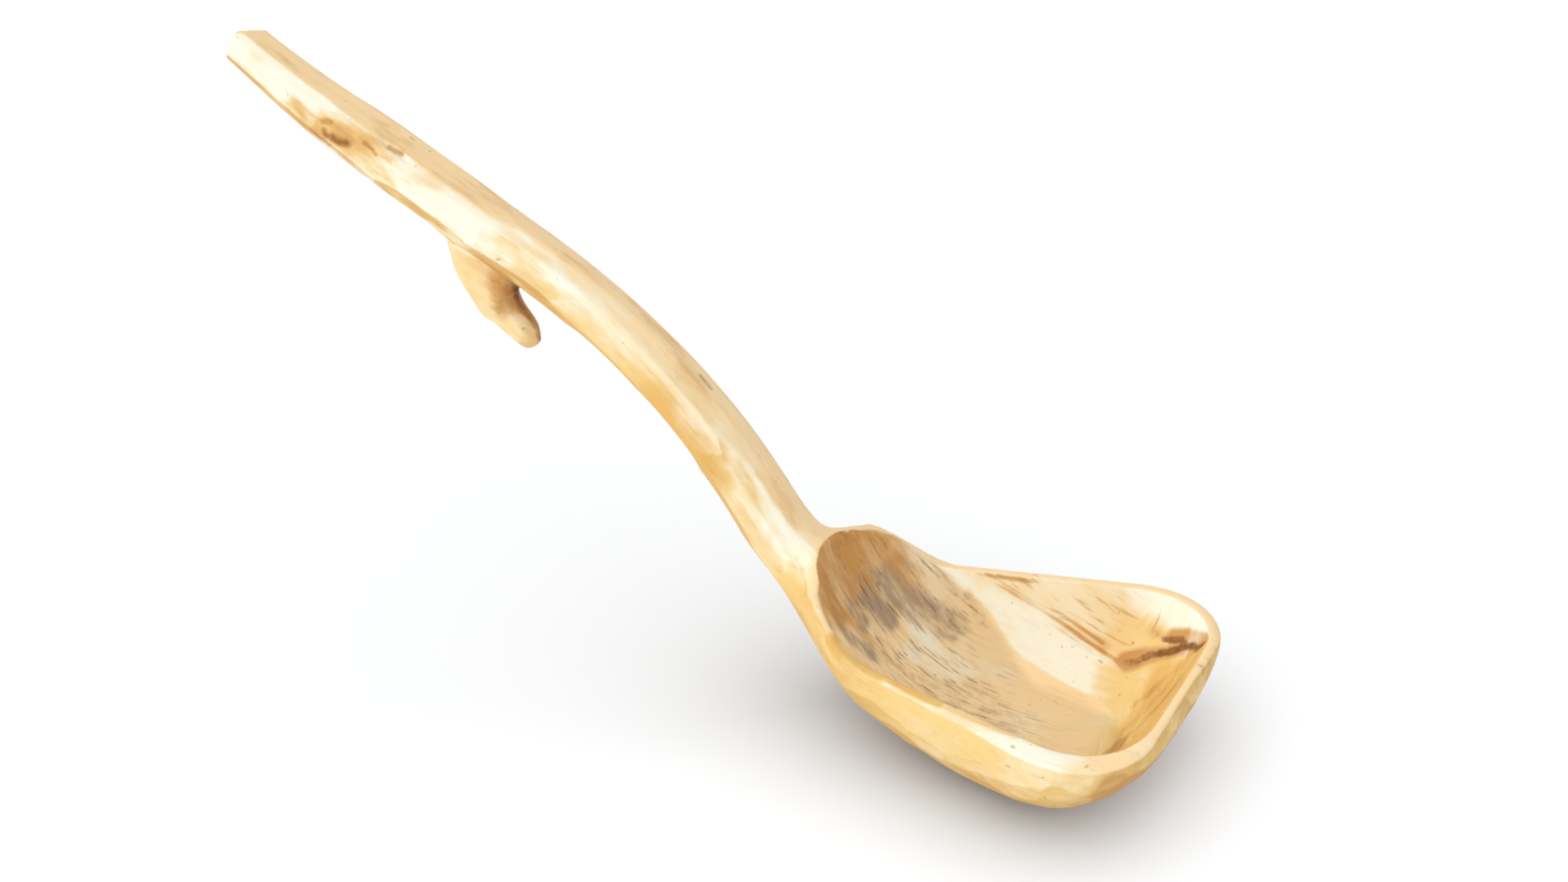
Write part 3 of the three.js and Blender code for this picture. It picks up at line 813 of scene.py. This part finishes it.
def handle_figure(grain, facing):
    """Pale right side, where it faces the key light, and a tan strip along the top turned from it, as painted
    light and shade; honey below, with painted shade on the faces turned down, in the hook's recess and along
    its edges; and a knot on the right side of the grip.
    """
    back, across, above = grain.T
    right = -facing[:, 1]
    up = facing[:, 2]
    inner = gap_side(facing)
    grip = grip_like(back)
    shank = smooth_step(0.278, 0.245, back)
    neck = smooth_step(0.188, 0.174, back)
    stem = smooth_step(0.165, 0.150, back)
    hook = smooth_step(-0.0100, -0.0125, above) * smooth_step(0.250, 0.262, back)
    # Painted light and shade by facing: faces turned from the right side, away from the key light, are
    # painted in shade
    turned_from_light = smooth_step(0.60, 0.25, right)
    far_side_shade = smooth_step(0.20, 0.60, -right) * (1 - hook)
    top_shade = turned_from_light * smooth_step(0.05, 0.40, up)
    underside_shade = smooth_step(-0.25, -0.75, up) * (1 - hook)
    lower_side_shade = smooth_step(-0.15, -0.45, up) * smooth_step(0.255, 0.270, back) * (1 - hook)
    low = smooth_step(0.007, -0.001, above + 0.003 * neck)
    # Painted shade on the hook's faces into its gap and on its outer edge
    gap = hook * smooth_step(0.40, 0.70, inner) * smooth_step(-0.0030, 0.0, across)
    outer = hook * smooth_step(-0.55, -0.85, inner)
    knot = strokes(grain, "grip knot")
    swirl = strokes(grain, "grip swirl")
    pocket_shade = strokes(grain, "hook pocket shade")
    spots = strokes(grain, "handle spots")
    edge = strokes(grain, "hook edge shade")
    light = strokes(grain, "hook highlight")
    bend = strokes(grain, "bend")
    # How strongly the lit right side is painted paler, region by region
    painted_light = 0.8 * grip + 0.85 * (1 - grip) * (1 - shank) + 0.2 * shank * (1 - neck) + 0.9 * neck
    return {
        "pale": (1 - turned_from_light) * painted_light * (1 - 0.7 * low * shank) * (1 - hook) + 0.7 * hook * light,
        "honey": 0.20 + 0.75 * low * shank * (1 - neck) + 0.2 * neck * low + 0.4 * underside_shade + 0.3 * lower_side_shade
        + 0.45 * hook + 0.7 * knot + 0.15 * far_side_shade,
        "amber": 0.7 * bend + 0.4 * low * shank * (1 - neck) + 0.35 * underside_shade + 0.45 * lower_side_shade
        + 0.2 * outer + 0.65 * knot,
        "tan": top_shade * (0.9 + 0.1 * grip) * (1 - 0.1 * stem) + 0.2 * knot + 0.3 * hook,
        "ochre": 0.10 + 0.5 * knot + 0.2 * far_side_shade + 0.9 * swirl + 0.3 * spots + 1.2 * pocket_shade + 0.6 * gap
        + 0.5 * edge + 0.35 * outer + 0.2 * underside_shade + 0.3 * lower_side_shade + 0.15 * top_shade,
        "grey": np.zeros(len(grain)),
        "brown": 0.6 * swirl + 0.5 * spots + 0.42 * pocket_shade + 0.25 * gap + 0.3 * edge,
        "fleck": 0.10 + 0.3 * knot,
        "stir": 0.85 - 0.7 * pocket_shade,
    }


def outside_figure(grain, normals):
    """Honey walls, deeper at the back and, as painted shade, on the faces turned down and towards the lip; a
    paler rim top and lit near wall as painted light; and an orange band on the rim at the back.
    """
    back, across, _ = grain.T
    # Painted light and shade by facing: the rim's upward faces paler on the near side and tan elsewhere, the
    # faces turned down and towards the lip darker
    rim = smooth_step(0.35, 0.85, normals[:, 2])
    deep = smooth_step(-0.10, -0.55, normals[:, 2])
    heel = smooth_step(0.075, 0.112, back)
    front = smooth_step(0.35, 0.80, normals[:, 0])
    right = smooth_step(0.0, -0.01, across)
    # Painted light on the lit part of the near wall
    painted_light = smooth_step(0.062, 0.034, back) * smooth_step(0.0, -0.02, across) * (1 - front) * (1 - deep)
    stem = smooth_step(0.122, 0.136, back)
    tip = smooth_step(0.030, 0.012, back)
    lip = strokes(grain, "lip spots")
    band = strokes(grain, "rim band")
    flame = strokes(grain, "flame")
    return {
        "pale": (0.55 * rim * right * (1 - 0.8 * stem) * (1 - 0.6 * tip) + 0.35 * painted_light) * (1 - band),
        "honey": 0.95 - 0.6 * rim - 0.4 * painted_light + band,
        "amber": 0.55 * heel * (1 - rim) + 0.75 * deep + 0.6 * front * (1 - rim) + 0.9 * band,
        "tan": 0.75 * rim * (1 - right) + 0.7 * rim * tip + (0.4 + 0.3 * stem) * rim * heel * (1 - band),
        "ochre": 0.25 * band + 0.35 * flame + 0.35 * lip + 0.9 * deep * (0.5 + front)
        + 0.4 * front * (1 - rim),
        "grey": np.zeros(len(grain)),
        "brown": 0.25 * lip,
        "fleck": np.full(len(grain), 0.12),
        "stir": np.full(len(grain), 0.45),
    }


def hollow_figure(grain):
    """Brown back wall and dull floor, darkened further as painted shadow on the shaded side, a pale band in
    painted light beside the shadow's edge, streaks on the left wall and a knot in the far corner.
    """
    back, across, above = grain.T
    rear = smooth_step(0.104, 0.130, back)
    front = smooth_step(0.0365, 0.0225, back)
    left = smooth_step(0.0325, 0.0365, across) * smooth_step(0.026, 0.034, back)
    corner = smooth_step(-0.007, 0.006, above + 0.41 * (0.046 - back))
    corner = corner * smooth_step(0.058, 0.044, back) * smooth_step(0.030, 0.036, across)
    # Painted light and shade along the key light's shadow edge: paler, warmer wood on the lit side, duller,
    # browner wood on the shaded side, which is partly the wood's own colour
    painted_lit_side = smooth_step(-0.0012, 0.0012, across - np.interp(back, *np.transpose(SHADE_EDGE)))
    pale = painted_lit_side * smooth_step(0.0365, 0.0325, across + 0.10 * np.maximum(back - 0.070, 0))
    pale = np.maximum(pale * smooth_step(0.033, 0.049, back), corner)
    dull_wood_and_painted_shadow = (1 - pale) * (1 - front) * (1 - painted_lit_side)
    warm_in_painted_light = (1 - pale) * painted_lit_side
    near = smooth_step(0.065, 0.040, back)
    # Painted shade on the shaded side, deepening up the far wall and the back wall, over wood that is browner
    # there
    far_side_shade = 0.3 * smooth_step(0.096, 0.108, back) * smooth_step(0.012, 0.024, across)
    browning_and_painted_shade = far_side_shade + 0.5 * smooth_step(0.098, 0.114, back) + 1.1 * smooth_step(0.110, 0.128, back)
    beige = strokes(grain, "beige")
    grey_stain_and_shade = strokes(grain, "grey_stain_and_shade") * (1 - painted_lit_side)
    streaks = strokes(grain, "streaks")
    knot = strokes(grain, "knot")
    fan = strokes(grain, "fan")
    edge = strokes(grain, "back edge")
    far_rim_shade_line = strokes(grain, "far rim shade line")
    patch = strokes(grain, "patch")
    band = strokes(grain, "rim band")
    halo = strokes(grain, "halo")
    cloud = strokes(grain, "cloud")
    return {
        "pale": pale + 0.7 * beige * dull_wood_and_painted_shadow,
        "honey": front * (1 - corner) + 0.45 * warm_in_painted_light + 0.4 * warm_in_painted_light * smooth_step(0.048, 0.034, back)
        + 0.2 * dull_wood_and_painted_shadow * (1 - beige) + 0.5 * dull_wood_and_painted_shadow * near + band,
        "amber": 0.85 * front * (1 - corner) * smooth_step(0.033, 0.019, back) + 0.9 * band,
        "tan": (0.66 - 0.4 * beige) * dull_wood_and_painted_shadow + 0.2 * left * (1 - corner) + 0.3 * rear,
        "ochre": browning_and_painted_shade * (1 - painted_lit_side) + 0.15 * left * (1 - pale) + 0.2 * dull_wood_and_painted_shadow * near + 0.65 * streaks
        + 0.65 * fan + 0.4 * patch + 1.05 * halo + 0.25 * band + 0.3 * edge + 0.55 * far_rim_shade_line,
        "grey": 0.36 * grey_stain_and_shade * (1 - 0.5 * beige) + 0.58 * cloud,
        "brown": 0.35 * edge + 0.25 * streaks + 0.9 * knot + 0.22 * fan + 0.15 * patch + 0.1 * far_rim_shade_line,
        "fleck": 0.08 + 0.9 * grey_stain_and_shade + 0.4 * left * (1 - corner) + 0.3 * rear,
        "stir": np.full(len(grain), 0.8),
    }


def flow(grain, inside):
    """Coordinates that the streaks follow: along the wood, but round the front wall in the hollow."""
    back, across, above = grain.T
    turn = inside * smooth_step(0.034, 0.016, back) * smooth_step(-0.035, -0.010, across)
    along = (1 - turn) * back + turn * (across - 0.015)
    sideways = (1 - turn) * across + turn * (0.055 - back)
    return np.stack([along, sideways, above * (1 - 0.88 * inside)], 1)


def figure(points, normals, edges):
    """The coordinates that the streaks follow, and the masks of every kind of wood."""
    normals = blurred(normals, edges, FIGURE_ROUNDS)
    grain, slope = along_grain(points)
    inside = is_inside(points, normals)
    handle = on_handle(grain)
    parts = (
        (handle, handle_figure(grain, turn_over(normals, slope))),
        ((1 - handle) * (1 - inside), outside_figure(grain, normals)),
        ((1 - handle) * inside, hollow_figure(grain)),
    )
    masks = {name: np.clip(sum(share * part[name] for share, part in parts), 0, 1) for name in parts[0][1]}
    return flow(grain, inside), masks


# Materials

class Nodes:
    """Short ways to add nodes to a tree and join them."""

    def __init__(self, tree):
        self.tree = tree

    def add(self, kind, inputs=(), **settings):
        node = self.tree.nodes.new(kind)
        for name, value in settings.items():
            setattr(node, name, value)
        for key, value in dict(inputs).items():
            if isinstance(value, bpy.types.NodeSocket):
                self.tree.links.new(value, node.inputs[key])
            else:
                node.inputs[key].default_value = value
        return node

    def math(self, operation, a, b, clamp=False):
        return self.add("ShaderNodeMath", {0: a, 1: b}, operation=operation, use_clamp=clamp).outputs[0]

    def plus(self, a, b):
        return self.math("ADD", a, b)

    def times(self, a, b):
        return self.math("MULTIPLY", a, b)

    def ramp(self, value, low, high, to_low=0.0, to_high=1.0):
        inputs = {"Value": value, "From Min": low, "From Max": high, "To Min": to_low, "To Max": to_high}
        return self.add("ShaderNodeMapRange", inputs, interpolation_type="SMOOTHSTEP").outputs["Result"]

    def mix(self, share, a, b):
        return self.add("ShaderNodeMix", {0: share, 6: a, 7: b}, data_type="RGBA").outputs[2]

    def mask(self, name):
        return self.add("ShaderNodeAttribute", attribute_name=name).outputs["Fac"]

    def noise(self, place, stretch, scale, detail):
        """Noise whose grains are stretched along the wood; scale is in grains per metre across it."""
        narrow = self.add("ShaderNodeVectorMath", {0: place, 1: (1 / stretch, 1, 1)}, operation="MULTIPLY")
        inputs = {"Vector": narrow.outputs[0], "Scale": scale, "Detail": detail, "Roughness": 0.6}
        return self.add("ShaderNodeTexNoise", inputs).outputs["Fac"]

    def swing(self, place, stretch, scale, detail):
        """The same noise, spread to run from -0.5 to 0.5."""
        return self.ramp(self.noise(place, stretch, scale, detail), 0.30, 0.70, -0.5, 0.5)


def colour(rgb):
    return (*rgb, 1)


def wood_colour(nodes, place, fibre, streak):
    """The kinds of wood laid over each other, each by its mask, which the figure of the wood breaks up."""
    body = nodes.add("ShaderNodeTexCoord").outputs["Object"]
    dash = nodes.noise(place, *DASH)
    speck = nodes.noise(place, *SPECK)
    cloud = nodes.swing(place, *CLOUD)
    patches = nodes.swing(place, *PATCHES)
    crumbs = nodes.swing(body, *CRUMBS)
    loose = nodes.plus(nodes.times(cloud, 0.75), nodes.times(nodes.plus(streak, -0.5), 0.5))
    loose = nodes.times(loose, nodes.mask("stir"))
    toned = nodes.plus(loose, nodes.times(nodes.plus(nodes.mask("tone"), -0.5), 0.42))
    fine = nodes.plus(nodes.plus(streak, fibre), -1.0)
    rough = nodes.plus(nodes.times(patches, 0.45), nodes.times(fine, 0.6))
    ragged = nodes.plus(nodes.times(crumbs, 0.20), nodes.times(fine, 0.35))
    sparse = nodes.plus(dash, nodes.times(patches, 0.07))
    lined = nodes.ramp(nodes.mask("pale"), 0.3, 1.0, 1.0, 0.4)

    def broken(name, low, high, breaker, amount):
        return nodes.ramp(nodes.plus(nodes.mask(name), nodes.times(breaker, amount)), low, high)

    layers = (
        (broken("pale", 0.1, 0.9, loose, -0.9), PALE),
        (broken("honey", 0.05, 1.0, toned, 1.0), HONEY),
        (broken("amber", 0.15, 1.0, toned, 0.8), AMBER),
        (broken("tan", 0.1, 0.9, loose, 1.0), TAN),
        (broken("ochre", 0.25, 1.1, loose, 1.0), OCHRE),
        (broken("grey", 0.12, 1.1, rough, 0.9), GREY),
        (nodes.times(nodes.ramp(fibre, 0.48, 0.75, 0.0, 0.08), lined), OCHRE),
        (nodes.times(nodes.ramp(streak, 0.50, 0.80, 0.0, 0.14), lined), OCHRE),
        (nodes.times(nodes.ramp(sparse, 0.59, 0.70), nodes.times(nodes.mask("fleck"), 0.7)), BROWN),
        (nodes.times(nodes.ramp(speck, 0.80, 0.86), 0.4), BROWN),
        (broken("brown", 0.22, 1.0, ragged, 0.9), BROWN),
    )
    shade = colour(CREAM)
    for share, rgb in layers:
        shade = nodes.mix(share, shade, colour(rgb))
    return shade


def wood_material():
    wood = bpy.data.materials.new("wood")
    wood.use_nodes = True
    nodes = Nodes(wood.node_tree)
    place = nodes.add("ShaderNodeAttribute", attribute_name="grain").outputs["Vector"]
    fibre = nodes.noise(place, *FIBRE)
    streak = nodes.noise(place, *STREAK)
    bump = nodes.add("ShaderNodeBump", {"Height": fibre, "Strength": BUMP_STRENGTH, "Distance": BUMP_DEPTH})
    surface = wood.node_tree.nodes["Principled BSDF"]
    surface.inputs["Specular IOR Level"].default_value = GLOSS
    wood.node_tree.links.new(wood_colour(nodes, place, fibre, streak), surface.inputs["Base Color"])
    wood.node_tree.links.new(nodes.ramp(streak, 0.3, 0.7, *ROUGHNESS), surface.inputs["Roughness"])
    wood.node_tree.links.new(bump.outputs[0], surface.inputs["Normal"])
    return wood


def floor_material():
    paper = bpy.data.materials.new("paper")
    paper.use_nodes = True
    surface = paper.node_tree.nodes["Principled BSDF"]
    surface.inputs["Base Color"].default_value = colour(PAPER)
    surface.inputs["Roughness"].default_value = 1.0
    surface.inputs["Specular IOR Level"].default_value = 0.0
    return paper


# The ladle

def make_ladle():
    """The carved pieces, in a collection of their own that the key light shines on."""
    skin = melted_block()
    smooth_block(skin)
    carve(skin)
    wood = wood_material()
    ladle = bpy.data.collections.new("ladle")
    bpy.context.scene.collection.children.link(ladle)
    for name, piece in parted(skin):
        ladle.objects.link(piece)
        piece.data.materials.append(wood)
        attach(piece, "root")
        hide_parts(name)
    return ladle


# Floor, light and camera

def lay_floor():
    """A wide sheet of paper, in a collection of its own that the softbox shines on."""
    stage = bpy.data.collections.new("stage")
    bpy.context.scene.collection.children.link(stage)
    corners = [(x * FLOOR_REACH, y * FLOOR_REACH, 0) for x, y in ((-1, -1), (1, -1), (1, 1), (-1, 1))]
    mesh = bpy.data.meshes.new("floor")
    mesh.from_pydata(corners, [], [(0, 1, 2, 3)])
    mesh.materials.append(floor_material())
    floor = bpy.data.objects.new("floor", mesh)
    stage.objects.link(floor)
    return stage


def sky_light():
    """A soft sky, brighter from the left and above, which the camera sees as plain white."""
    world = bpy.data.worlds.new("sky")
    world.use_nodes = True
    nodes = Nodes(world.node_tree)
    direction = nodes.add("ShaderNodeTexCoord").outputs["Generated"]
    towards = Vector(SKY_FROM).normalized()
    facing = nodes.add("ShaderNodeVectorMath", {0: direction, 1: towards}, operation="DOT_PRODUCT")
    glow = nodes.ramp(facing.outputs["Value"], *SKY_TURN, SKY_DIM, SKY_BRIGHT)
    path = nodes.add("ShaderNodeLightPath").outputs
    seen = nodes.plus(path["Is Glossy Ray"], path["Is Transmission Ray"])
    seen = nodes.math("ADD", path["Is Camera Ray"], seen, clamp=True)
    strength = nodes.add("ShaderNodeMix", {0: seen, 2: glow, 3: 1.0}).outputs[0]
    background = world.node_tree.nodes["Background"]
    background.inputs["Color"].default_value = (1, 1, 1, 1)
    world.node_tree.links.new(strength, background.inputs["Strength"])
    return world


def lamp(name, energy, spread, origin, receivers):
    """A sun that stands in the direction of origin and lights only the receivers."""
    light = bpy.data.objects.new(name, bpy.data.lights.new(name, "SUN"))
    light.data.energy = energy
    light.data.angle = math.radians(spread)
    light.rotation_euler = Vector(origin).to_track_quat("Z", "Y").to_euler()
    light.light_linking.receiver_collection = receivers
    bpy.context.collection.objects.link(light)


def light_scene(ladle, stage):
    bpy.context.scene.world = sky_light()
    lamp("key", KEY, KEY_SPREAD, KEY_FROM, ladle)
    lamp("softbox", SOFTBOX, SOFTBOX_SPREAD, SOFTBOX_FROM, stage)


def place_camera():
    camera = bpy.data.objects.new("camera", bpy.data.cameras.new("camera"))
    around = math.radians(AZIMUTH)
    rise = math.radians(ELEVATION)
    back = Vector((math.sin(around) * math.cos(rise), -math.cos(around) * math.cos(rise), math.sin(rise)))
    camera.location = Vector(AIM) + back * DISTANCE
    camera.rotation_euler = back.to_track_quat("Z", "Y").to_euler()
    camera.data.lens = LENS
    camera.data.sensor_width = SENSOR
    bpy.context.collection.objects.link(camera)
    bpy.context.scene.camera = camera
    bpy.context.scene.view_settings.view_transform = "Standard"


ladle = make_ladle()
stage = lay_floor()
light_scene(ladle, stage)
place_camera()
